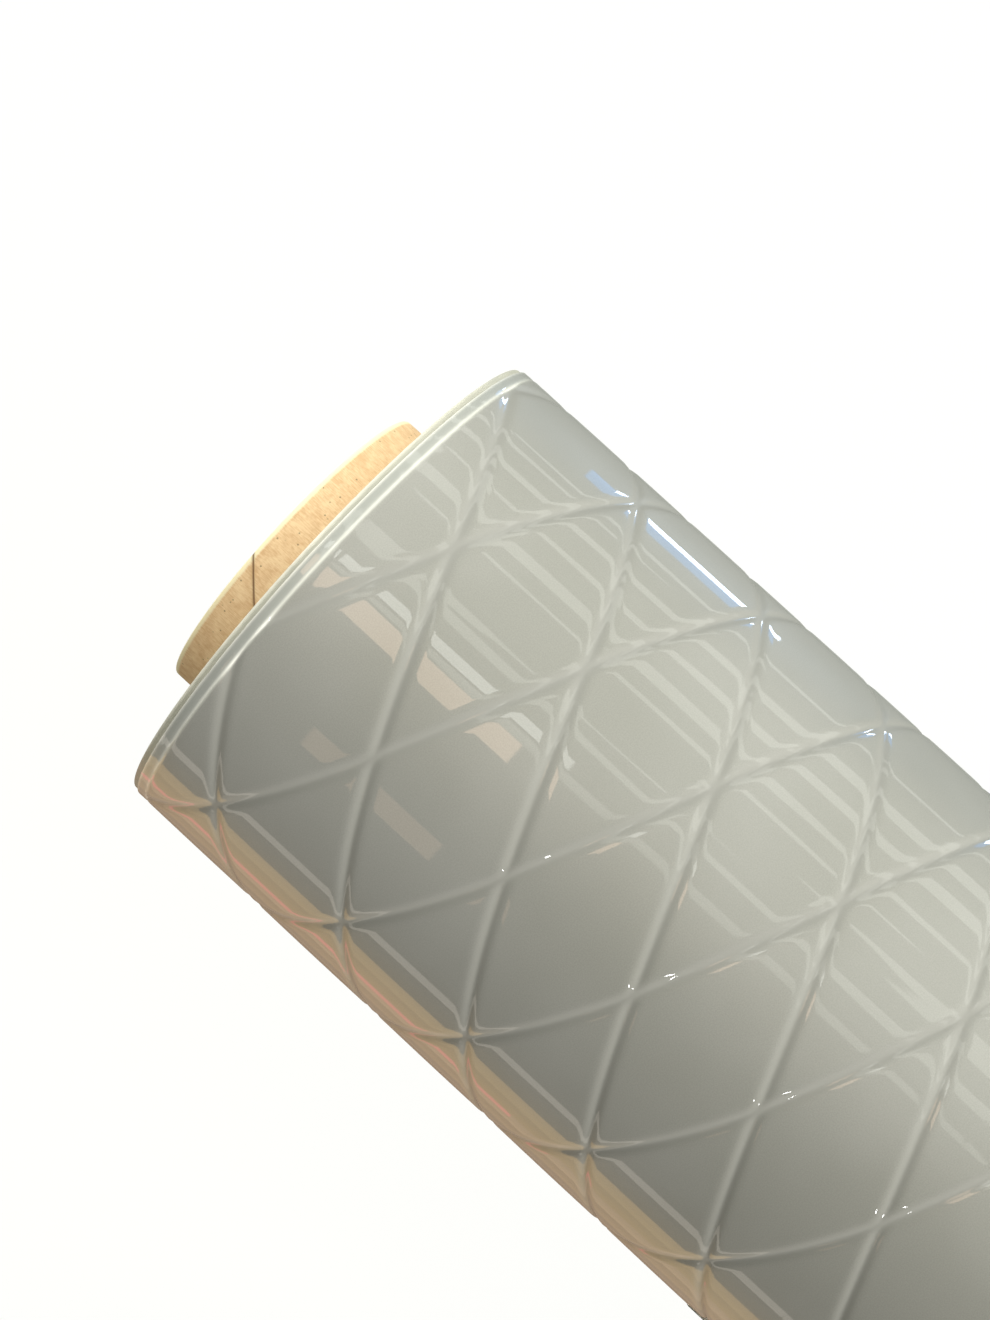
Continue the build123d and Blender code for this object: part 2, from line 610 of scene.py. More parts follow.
class Palette:
    """All the finishes of the roll, each made once."""

    def __init__(self, core_length: float) -> None:
        """Make every finish.

        Args:
            core_length: the core's length, for the paler bands at its cut ends.
        """
        makers = {
            Finish.SHEET: SheetFinish(),
            Finish.BACKING: PlainPlastic(
                Finish.BACKING, light="#D8D6CC", dark="#CBC9BE", roughness=0.55,
            ),
            Finish.TURN_EDGES: PlainPlastic(
                Finish.TURN_EDGES, light="#BDBAAC", dark="#A3A296", roughness=0.38,
            ),
            Finish.KRAFT_SURFACE: KraftBoard(
                Finish.KRAFT_SURFACE, light="#F4D4A8", dark="#DFB688", core_length=core_length,
            ),
            Finish.KRAFT_BOARD: KraftBoard(
                Finish.KRAFT_BOARD, light="#B99B78", dark="#94764F", core_length=core_length,
                cut_edge="#C9AF88",
            ),
            Finish.KRAFT_LINER: KraftBoard(
                Finish.KRAFT_LINER, light="#C9A06F", dark="#A87C4E", core_length=core_length,
                cut_edge="#D8BC8F",
            ),
            Finish.START_TAPE: PlainPlastic(
                Finish.START_TAPE, light="#E6DDB8", dark="#D8CDA2", roughness=0.6,
            ),
            Finish.CLEAR_TAPE: ClearTape(),
        }
        self.materials = {finish: maker.make() for finish, maker in makers.items()}

    def dress(self, piece: bpy.types.Object, *finishes: Finish) -> None:
        """Give a piece its finishes, one per material slot.

        Args:
            piece: the object.
            finishes: the finishes in slot order.
        """
        piece.data.materials.clear()
        for finish in finishes:
            piece.data.materials.append(self.materials[finish])


# ---------------------------------------------------------------------------------------------------------
# The sheet
# ---------------------------------------------------------------------------------------------------------


@dataclass(frozen=True)
class Winding:
    """Spiral that the sheet's outer face follows, read from the hinges of its free end."""

    root_radius: float
    pitch: float
    panel_angle: float
    panel_count: int

    @classmethod
    def from_joints(cls, joints: list[dict]) -> "Winding":
        """Work the spiral out from the first and the last hinge.

        Args:
            joints: the frame's joints, from the free end's root to its edge.

        Returns:
            The winding.
        """
        first, last = [math.hypot(*joint["pos_m"][1:]) for joint in (joints[0], joints[-1])]
        panel_angle = joints[0]["range_deg"][1]
        between = panel_angle * (len(joints) - 1)
        return cls(first, (last - first) * FULL_TURN / between, panel_angle, len(joints))

    @property
    def free_angle(self) -> float:
        """Winding angle of the free edge."""
        return self.panel_angle * self.panel_count

    def radius(self, angle: np.ndarray) -> np.ndarray:
        """Radius of the sheet's outer face at winding angles in degrees."""
        return self.root_radius + self.pitch * angle / FULL_TURN

    def wrap(self, along: np.ndarray, angle: np.ndarray, height: np.ndarray) -> np.ndarray:
        """Place points of the flat sheet on the roll.

        Args:
            along: distance along the roll's axis.
            angle: winding angle.
            height: height above the sheet's outer face.

        Returns:
            Rows of x, y and z.
        """
        return ring_points(along, self.radius(angle) + height, np.radians(-angle))


@dataclass(frozen=True)
class Lattice:
    """Diamond lattice of weld lines.

    Crossings stand in columns along the roll and rows round it, and every second row is shifted by half a
    column. Two lattice coordinates, column + row / 2 and column - row / 2, are one unit per cell, and the
    weld lines lie at their half values. The calendered sheet has stretched a little, so that the columns
    close up over the first few cells and the rows are uneven round the roll.
    """

    first_crossing: float = 39.5 * MM
    column_width: float = 42.6 * MM
    closing_up: float = -0.0138
    closing_columns: float = 5.0
    row_shift: float = -1.44 * MM
    row_angle: float = 38.64
    middle_row: float = 1.5
    middle_angle: float = -159.76
    unevenness: float = 9.5
    row_reach: float = 12.0
    column_reach: tuple = (-4.0, 44.0)
    table_step: float = 0.01

    def along(self, column: np.ndarray, row: np.ndarray) -> np.ndarray:
        """Distance along the roll of places in the lattice.

        Args:
            column: the places' columns.
            row: their rows.

        Returns:
            A distance for each place.
        """
        closing = np.minimum(column, self.closing_columns)
        rate = 1 + 2 * self.closing_up * self.closing_columns
        settled = closing + self.closing_up * closing ** 2 + rate * (column - closing)
        return self.first_crossing + self.column_width * settled + self.row_shift * row

    def angle(self, row: np.ndarray) -> np.ndarray:
        """Winding angle of rows.

        Args:
            row: the rows.

        Returns:
            An angle for each row.
        """
        from_middle = row - self.middle_row
        swing = 1 - np.cos(np.radians(from_middle * self.row_angle))
        return self.middle_angle - self.row_angle * from_middle + self.unevenness * swing

    def cells(self, along: np.ndarray, angle: np.ndarray) -> tuple[np.ndarray, np.ndarray]:
        """Lattice coordinates of places on the flat sheet.

        Args:
            along: distance along the roll.
            angle: winding angle.

        Returns:
            The two lattice coordinates.
        """
        rows = np.linspace(-self.row_reach, self.row_reach, round(2 * self.row_reach / self.table_step) + 1)
        row = np.interp(-angle, -self.angle(rows), rows)
        first, last = self.column_reach
        columns = np.linspace(first, last, round((last - first) / self.table_step) + 1)
        column = np.interp(along - self.row_shift * row, self.along(columns, 0.0), columns)
        return column + row / 2, column - row / 2


@dataclass
class LatticeSheet:
    """Outermost turn of the sheet and its free end, cut into pieces at the hinges; the outer turn and the last
    strip ride with their bodies.
    """

    winding: Winding
    lattice: Lattice
    near_edge: float
    far_edge: float
    thickness: float
    bands: int = 6
    steps_per_cell: int = 26
    crowding: float = 0.85
    tucked_under: float = 15.0
    weld_half_width: float = 2.35 * MM
    weld_depth: float = 0.42 * MM
    weld_rounding: float = 0.2
    weld_vee: float = 0.5
    crown: float = 0.05 * MM
    swell: float = 0.06 * MM
    bead_inset: float = 3.0 * MM
    bead_half_width: float = 0.45 * MM
    bead_depth: float = 0.12 * MM
    bead_fade: float = 0.12 * MM
    pale_edge: float = 0.4 * MM
    hinge_share: float = 0.52
    margin_drop: float = 0.05 * MM
    mean_line_slope: float = 0.93
    edge_cuts_mm: tuple = (0.2, 0.4, 0.8, 1.6, 2.3, 2.6, 2.8, 3.0, 3.2, 3.4, 3.7, 4.5)
    cell_slack: float = 1e-6
    merge_gap: float = 1e-7
    fade_limit: float = 30.0

    @property
    def first_angle(self) -> float:
        """Winding angle where the shown sheet starts, tucked under the outer turn."""
        return -FULL_TURN - self.tucked_under

    def arc(self, angle: float) -> float:
        """Length round the flat sheet of a winding angle."""
        return self.winding.root_radius * math.radians(angle)

    def flat_band(self, name: str, start: float, stop: float) -> bpy.types.Object:
        """Make the flat grid of one band, with its edges along the weld lines.

        Args:
            name: the band's name.
            start: where it starts along the roll.
            stop: where it ends.

        Returns:
            A flat mesh: X along the roll, Y round it as an arc length.
        """
        corner_along = np.array([start, start, stop, stop])
        corner_angle = np.array([self.first_angle, self.winding.free_angle] * 2)
        first, second = self.lattice.cells(corner_along, corner_angle)
        # The grid starts and stops at half values, on weld lines, and covers the band with whole cells.
        low = np.floor([first.min(), second.min()]) - 0.5
        counts = np.ceil([first.max(), second.max()]) + 0.5 - low
        steps = (counts * self.steps_per_cell).astype(int)
        piece = flat_grid(name, *[int(s) for s in steps])
        points = points_of(piece)
        cell = points[:, :2] * counts
        whole = np.floor(cell + self.cell_slack)
        part = cell - whole
        # The grid's lines crowd together at the weld lines, where the relief is.
        part -= self.crowding * np.sin(2 * np.pi * part) / (2 * np.pi)
        coordinates = low + whole + part
        column = coordinates.sum(axis=1) / 2
        row = coordinates[:, 0] - coordinates[:, 1]
        angle = self.lattice.angle(row)
        points[:, 0] = self.lattice.along(column, row)
        points[:, 1] = self.winding.root_radius * np.radians(angle)
        set_points(piece, points)
        cut(piece, (start, 0, 0), (-1, 0, 0), clear=True)
        cut(piece, (stop, 0, 0), (1, 0, 0), clear=True)
        cut(piece, (0, self.arc(self.first_angle), 0), (0, -1, 0), clear=True)
        cut(piece, (0, self.arc(self.winding.free_angle), 0), (0, 1, 0), clear=True)
        return piece

    def cut_lines(self) -> list[float]:
        """Winding angles where the sheet is divided: about half a panel to each side of every hinge."""
        hinges = range(self.winding.panel_count + 1)
        return [self.winding.panel_angle * (number - self.hinge_share) for number in hinges]

    def divide(self, piece: bpy.types.Object) -> list[bpy.types.Object]:
        """Divide a flat band at the cut lines.

        Args:
            piece: the flat band.

        Returns:
            The band's pieces, from under the outer turn to the free edge.
        """
        for inset in self.edge_cuts_mm:
            for edge, side in ((self.near_edge, 1), (self.far_edge, -1)):
                cut(piece, (edge + side * inset * MM, 0, 0), (1, 0, 0))
        parts = []
        for angle in self.cut_lines():
            cut(piece, (0, self.arc(angle), 0), (0, 1, 0))
            middles = np.empty(len(piece.data.polygons) * 3, np.float32)
            piece.data.polygons.foreach_get("center", middles)
            inside = middles.reshape(-1, 3)[:, 1] < self.arc(angle)
            with editing(piece):
                bpy.ops.mesh.select_all(action="DESELECT")
                bpy.ops.object.mode_set(mode="OBJECT")
                piece.data.polygons.foreach_set("select", inside)
                bpy.ops.object.mode_set(mode="EDIT")
                bpy.ops.mesh.separate(type="SELECTED")
            part = next(o for o in bpy.context.selected_objects if o is not piece)
            parts.append(part)
        parts.append(piece)
        return parts

    def groove(self, share: np.ndarray) -> np.ndarray:
        """Profile of a weld line: a shallow V with a rounded bottom, mixed with a soft wave.

        Args:
            share: distance from the line's middle, as a share of its half width, at most 1.

        Returns:
            1 at the middle of the line, 0 at its edges.
        """
        rounding = self.weld_rounding
        vee = (math.hypot(1, rounding) - np.hypot(share, rounding)) / (math.hypot(1, rounding) - rounding)
        wave = (1 + np.cos(np.pi * share)) / 2
        return self.weld_vee * vee + (1 - self.weld_vee) * wave

    def relief(self, along: np.ndarray, angle: np.ndarray) -> tuple[np.ndarray, dict[str, np.ndarray]]:
        """Shape of the outer face.

        Args:
            along: distance along the roll.
            angle: winding angle.

        Returns:
            Height above the flat sheet, and how much each point is welded, bare margin, or pressed pale.
        """
        first, second = self.lattice.cells(along, angle)
        line_gap = self.lattice.column_width * self.mean_line_slope
        gaps = [np.abs(c - np.floor(c) - 0.5) for c in (first, second)]
        reach = [np.minimum(gap * line_gap / self.weld_half_width, 1.0) for gap in gaps]
        welds = [self.groove(share) for share in reach]
        weld = 1 - (1 - welds[0]) * (1 - welds[1])
        dome = (1 - (1 - 2 * gaps[0]) ** 2) * (1 - (1 - 2 * gaps[1]) ** 2)
        from_edge = np.minimum(along - self.near_edge, self.far_edge - along)
        past_bead = np.clip((from_edge - self.bead_inset) / self.bead_fade, -self.fade_limit, self.fade_limit)
        margin = 1 / (1 + np.exp(past_bead))
        bead = np.exp(-((from_edge - self.bead_inset) / self.bead_half_width) ** 2)
        height = self.swell - self.weld_depth * weld - self.crown * (1 - dome)
        height = height * (1 - margin) - self.margin_drop * margin - self.bead_depth * bead
        cut_edge = np.exp(-(from_edge / self.pale_edge) ** 2)
        return height, {WELD: weld * (1 - margin), MARGIN: margin, PALE: np.maximum(bead, cut_edge)}

    def shape(self, piece: bpy.types.Object, palette: Palette) -> None:
        """Give a flat piece its thickness, relief, coordinates and finish, and wrap it on the roll.

        Args:
            piece: a flat piece of the sheet.
            palette: the finishes.
        """
        with editing(piece):
            bpy.ops.mesh.remove_doubles(threshold=self.merge_gap)
            bpy.ops.mesh.normals_make_consistent(inside=False)
        if piece.data.polygons[0].normal.z < 0:
            with editing(piece):
                bpy.ops.mesh.flip_normals()
        palette.dress(piece, Finish.SHEET, Finish.BACKING)
        apply_modifier(piece, "SOLIDIFY", thickness=self.thickness, offset=-1.0, material_offset=1,
                       material_offset_rim=1)
        points = points_of(piece)
        along, round_roll, height = points.T
        angle = np.degrees(round_roll / self.winding.root_radius)
        rise, looks = self.relief(along, angle)
        top = height > -self.thickness / 2
        set_uv(piece, along, round_roll)
        for name, values in looks.items():
            set_attribute(piece, name, values)
        set_points(piece, self.winding.wrap(along, angle, height + np.where(top, rise, 0.0)))
        shade_smooth(piece, SHEET_CREASE)

    def build(self, palette: Palette) -> list[bpy.types.Object]:
        """Build the whole sheet.

        Args:
            palette: the finishes.

        Returns:
            The pieces that ride on the roll, followed by the free end's strips from its root to its edge.
        """
        edges = np.linspace(self.near_edge, self.far_edge, self.bands + 1)
        turns, strips = [], []
        for band in range(self.bands):
            flat = self.flat_band(f"band_{band + 1}", edges[band], edges[band + 1])
            parts = self.divide(flat)
            parts[0].name = f"outer_turn_{band + 1}"
            turns.append(parts[0])
            strips.append(parts[1:])
        joined = []
        for number, members in enumerate(zip(*strips), start=1):
            pick(*members)
            bpy.ops.object.join()
            members[0].name = f"free_end_strip_{number}"
            joined.append(members[0])
        for piece in turns + joined:
            piece.data.name = piece.name
            self.shape(piece, palette)
            LOG.info("%s: %d faces", piece.name, len(piece.data.polygons))
        self.attach(turns, joined)
        return turns + joined

    def attach(self, turns: list[bpy.types.Object], strips: list[bpy.types.Object]) -> None:
        """Make the outer turn's pieces ride on the roll and the last strip on the free end's last panel, fix the
        other strips where they lie, and hide the frame's parts that they replace.

        Args:
            turns: the pieces of the outer turn.
            strips: the free end's strips.
        """
        lines = self.cut_lines()
        films = [f"outer_turn_{film}_film" for film in ("face", "prism", "backing")]
        for turn in turns:
            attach(turn, "roll")
        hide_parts(*films)
        names = ["roll"] + [f"free_end_{i + 1}" for i in range(self.winding.panel_count)]
        for number, strip in enumerate(strips):
            start = lines[number]
            if number + 1 < len(lines):
                stop = lines[number + 1]
                ends = self.winding.wrap(np.zeros(2), np.array([start, stop]), np.zeros(2))
                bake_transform(strip)
                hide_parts(f"free_end_panel_{number + 1}")
            else:
                stop = self.winding.free_angle
                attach(strip, names[-1])


# ---------------------------------------------------------------------------------------------------------
# The turns below, the core and the tape
# ---------------------------------------------------------------------------------------------------------


@dataclass
class WoundTurns:
    """All the turns below the outermost one, with the spiral of their edges showing at both ends."""

    winding: Winding
    bore_radius: float
    near_end: float
    far_end: float
    sheet_thickness: float
    first_angle: float
    turn_pitch: float = 0.55 * MM
    steps_round: int = 144
    valley: float = 0.22 * MM
    shoulder: float = 0.22
    wander: float = 0.55 * MM
    wander_rate: float = 1.7
    wander_seed: int = 4
    wander_fade: float = 2.0
    clearance: float = 0.03 * MM
    merge_gap: float = 2e-6

    def build(self, palette: Palette) -> bpy.types.Object:
        """Build the wound turns as one closed solid.

        Args:
            palette: the finishes.

        Returns:
            The piece.
        """
        outer = float(self.winding.radius(self.first_angle)) - self.sheet_thickness - self.clearance
        turns = round((outer - self.bore_radius) / self.turn_pitch)
        pitch = (outer - self.bore_radius) / turns
        notches = [0.0, self.shoulder, 1 - self.shoulder]
        levels = np.array([turn + notch for turn in range(turns) for notch in notches] + [float(turns)])
        sunk = np.array([1.0, 0.0, 0.0] * turns + [0.0])
        path = 2 * len(levels)
        piece = flat_grid("wound_turns", path, self.steps_round)
        points = points_of(piece)
        place = np.rint(points[:, 0] * path).astype(int) % path
        part = points[:, 1]
        far = place >= len(levels)
        level = np.where(far, levels[::-1][place - len(levels)], levels[np.minimum(place, len(levels) - 1)])
        low = np.where(far, sunk[::-1][place - len(levels)], sunk[np.minimum(place, len(levels) - 1)])
        climb = np.where(level > 0, part, 0.0)
        unwound = level + climb
        fade = np.clip((turns - unwound) / self.wander_fade, 0, 1)
        inward = self.wander * soft_noise(unwound * self.wander_rate, self.wander_seed) * fade
        inward = inward + self.valley * low * (level > 0)
        along = np.where(far, self.far_end - inward, self.near_end + inward)
        reach = self.bore_radius + pitch * unwound
        turned = np.radians(-(self.first_angle + FULL_TURN * part))
        set_points(piece, ring_points(along, reach, turned))
        with editing(piece):
            bpy.ops.mesh.remove_doubles(threshold=self.merge_gap)
            bpy.ops.mesh.fill_holes(sides=0)
            bpy.ops.mesh.normals_make_consistent(inside=False)
        palette.dress(piece, Finish.TURN_EDGES)
        shade_smooth(piece, EDGE_CREASE)
        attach(piece, "roll")
        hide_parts("wound_sheet")
        LOG.info("wound_turns: %d turns", turns)
        return piece


@dataclass
class CorePly:
    """One ply of the core: a strip of board wound in a helix, with a butt seam and two sawn ends."""

    node: str
    outer_radius: float
    thickness: float
    length: float
    finish: Finish
    slot: str
    seam_at: float
    sawn_back: float
    seam_angle: float = 49.0
    seam_half_width: float = 0.28 * MM
    seam_depth: float = 0.22 * MM
    seam_step: float = 0.08 * MM
    lip_rise: float = 0.2 * MM
    lip_length: float = 6.0 * MM
    seam_cuts: tuple = (-1.6, -0.9, 0.0, 0.9, 1.6)  # in half widths of the seam
    steps_round: int = 128
    end_cuts_mm: tuple = (0.0, 0.12, 0.35, 0.8, 1.4, 2.5, 4.0, 6.0, 8.0, 10.0, 12.0, 14.0)
    long_steps: int = 9
    worn_edge: float = 0.14 * MM
    worn_width: float = 0.12 * MM
    board_share: float = 0.985
    merge_gap: float = 1e-6

    @property
    def circumference(self) -> float:
        """Length round the ply's outer face."""
        return 2 * math.pi * self.outer_radius

    def stations(self) -> np.ndarray:
        """Places along the tube of its rings of points.

        Returns:
            The places, from the near end to the far one.
        """
        ends = np.array(self.end_cuts_mm) * MM
        middle = np.linspace(ends[-1], self.length - ends[-1], self.long_steps + 2)[1:-1]
        every = np.concatenate([ends, middle, self.length - ends[::-1]])
        return np.clip(every, self.sawn_back, self.length - self.sawn_back)

    def build(self, palette: Palette) -> bpy.types.Object:
        """Build the ply.

        Args:
            palette: the finishes.

        Returns:
            The piece.
        """
        stations = self.stations()
        piece = flat_grid(f"{self.node}_wound", len(stations) - 1, self.steps_round)
        points = points_of(piece)
        points[:, 0] = stations[np.rint(points[:, 0] * (len(stations) - 1)).astype(int)]
        points[:, 1] *= self.circumference
        set_points(piece, points)
        self.cut_seam(piece)
        points = points_of(piece)
        along, round_tube, _ = points.T
        drop, weld = self.seam(along, round_tube)
        from_end = np.minimum(along, self.length - along) - self.sawn_back
        drop = drop + self.worn_edge * np.exp(-from_end / self.worn_width)
        turned = round_tube / self.outer_radius
        reach = self.outer_radius - drop
        set_points(piece, ring_points(along, reach, turned))
        set_attribute(piece, WELD, weld)
        with editing(piece):
            bpy.ops.mesh.remove_doubles(threshold=self.merge_gap)
            bpy.ops.mesh.normals_make_consistent(inside=False)
        apply_modifier(piece, "SOLIDIFY", thickness=self.thickness * self.board_share, offset=-1.0)
        palette.dress(piece, self.finish)
        shade_smooth(piece, EDGE_CREASE)
        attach(piece, "roll")
        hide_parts(self.node)
        LOG.info("%s: %d faces", piece.name, len(piece.data.polygons))
        return piece

    def seam_places(self) -> list[float]:
        """Where each pass of the seam meets the tube's near end.

        Returns:
            Lengths round the tube.
        """
        rise = self.length * math.tan(math.radians(self.seam_angle))
        passes = math.ceil(rise / self.circumference) + 1
        first = math.radians(self.seam_at) * self.outer_radius
        return [first + self.circumference * (1 - i) for i in range(passes + 1)]

    def cut_seam(self, piece: bpy.types.Object) -> None:
        """Cut lines into the flat ply along its seam, so that the seam can be sunk.

        Args:
            piece: the flat ply.
        """
        slope = math.radians(self.seam_angle)
        normal = (-math.sin(slope), math.cos(slope), 0)
        for place in self.seam_places():
            for offset in self.seam_cuts:
                shifted = place + offset * self.seam_half_width / math.cos(slope)
                cut(piece, (0, shifted, 0), normal)

    def seam(self, along: np.ndarray, round_tube: np.ndarray) -> tuple[np.ndarray, np.ndarray]:
        """Shape of the seam.

        Args:
            along: distance along the tube.
            round_tube: distance round it.

        Returns:
            How deep each point is sunk, and how dark it is.
        """
        slope = math.radians(self.seam_angle)
        first = math.radians(self.seam_at) * self.outer_radius
        past = round_tube - along * math.tan(slope) - first
        past = (past + self.circumference / 2) % self.circumference - self.circumference / 2
        gap = past * math.cos(slope)
        groove = np.exp(-(gap / self.seam_half_width) ** 2)
        rise = self.seam_step / (1 + np.exp(-gap / self.lip_rise))
        lip = rise * np.exp(-np.maximum(gap, 0) / self.lip_length)
        return self.seam_depth * groove + lip, groove


@dataclass
class TapeTab:
    """Short tab of clear tape over the free edge, with pinked ends."""

    node: str
    winding: Winding
    start: float
    width: float
    hold_angle: float = 12.0
    reach_angle: float = 11.0
    clearance: float = 0.3 * MM
    thickness: float = 0.08 * MM
    step_angle: float = 3.0
    teeth: int = 12
    tooth_angle: float = 0.9
    steps_long: int = 28
    lift: float = 0.03 * MM

    def build(self, palette: Palette) -> bpy.types.Object:
        """Build the tab.

        Args:
            palette: the finishes.

        Returns:
            The piece.
        """
        piece = flat_grid(f"{self.node}_film", self.teeth * 2, self.steps_long)
        points = points_of(piece)
        column = np.rint(points[:, 0] * self.teeth * 2).astype(int)
        notch = np.where(column % 2 == 0, self.tooth_angle, 0.0)
        free = self.winding.free_angle
        first = free - self.hold_angle + notch
        last = free + self.reach_angle - notch
        angle = first + (last - first) * points[:, 1]
        along = self.start + self.width * points[:, 0]
        fall = ease(np.clip((angle - free) / self.step_angle, 0, 1))
        drop = self.winding.pitch - self.clearance
        height = self.thickness + self.lift - fall * (drop + self.thickness)
        set_points(piece, self.winding.wrap(along, angle, height))
        with editing(piece):
            bpy.ops.mesh.normals_make_consistent(inside=False)
        middle = piece.data.polygons[len(piece.data.polygons) // 2]
        outward = Vector((0, middle.center.y, middle.center.z))
        if middle.normal.dot(outward) < 0:
            with editing(piece):
                bpy.ops.mesh.flip_normals()
        apply_modifier(piece, "SOLIDIFY", thickness=self.thickness, offset=-1.0)
        palette.dress(piece, Finish.CLEAR_TAPE)
        shade_smooth(piece, SHEET_CREASE)
        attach(piece, f"free_end_{self.winding.panel_count}")
        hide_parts(self.node)
        return piece


# ---------------------------------------------------------------------------------------------------------
# Stage
# ---------------------------------------------------------------------------------------------------------


@dataclass(frozen=True)
class Card:
    """Light card: a glowing panel that the gloss mirrors, placed by its direction round the roll's axis.

    The direction is measured from the front, over the top, to the rear.
    """

    name: str
    direction: float
    distance: float
    start: float
    stop: float
    height: float
    colour: str
    strength: float

    def build(self) -> None:
        """Build the card, facing the roll's axis."""
        bpy.ops.object.select_all(action="DESELECT")
        bpy.ops.mesh.primitive_plane_add(size=1.0)
        card = bpy.context.object
        card.name = self.name
        card.scale = (self.stop - self.start, self.height, 1.0)
        turned = math.radians(self.direction)
        card.location = (
            (self.start + self.stop) / 2,
            -self.distance * math.cos(turned),
            self.distance * math.sin(turned),
        )
        card.rotation_euler = (math.radians(90 - self.direction) + math.pi, 0, 0)
        material, tree, _ = new_material(self.name)
        tree.nodes.clear()
        glow = add_node(tree, "ShaderNodeEmission", {"Color": linear(self.colour), "Strength": self.strength})
        add_node(tree, "ShaderNodeOutputMaterial", {"Surface": glow.outputs["Emission"]})
        card.data.materials.append(material)
        card.visible_camera = False
        card.visible_diffuse = False
        card.visible_shadow = False


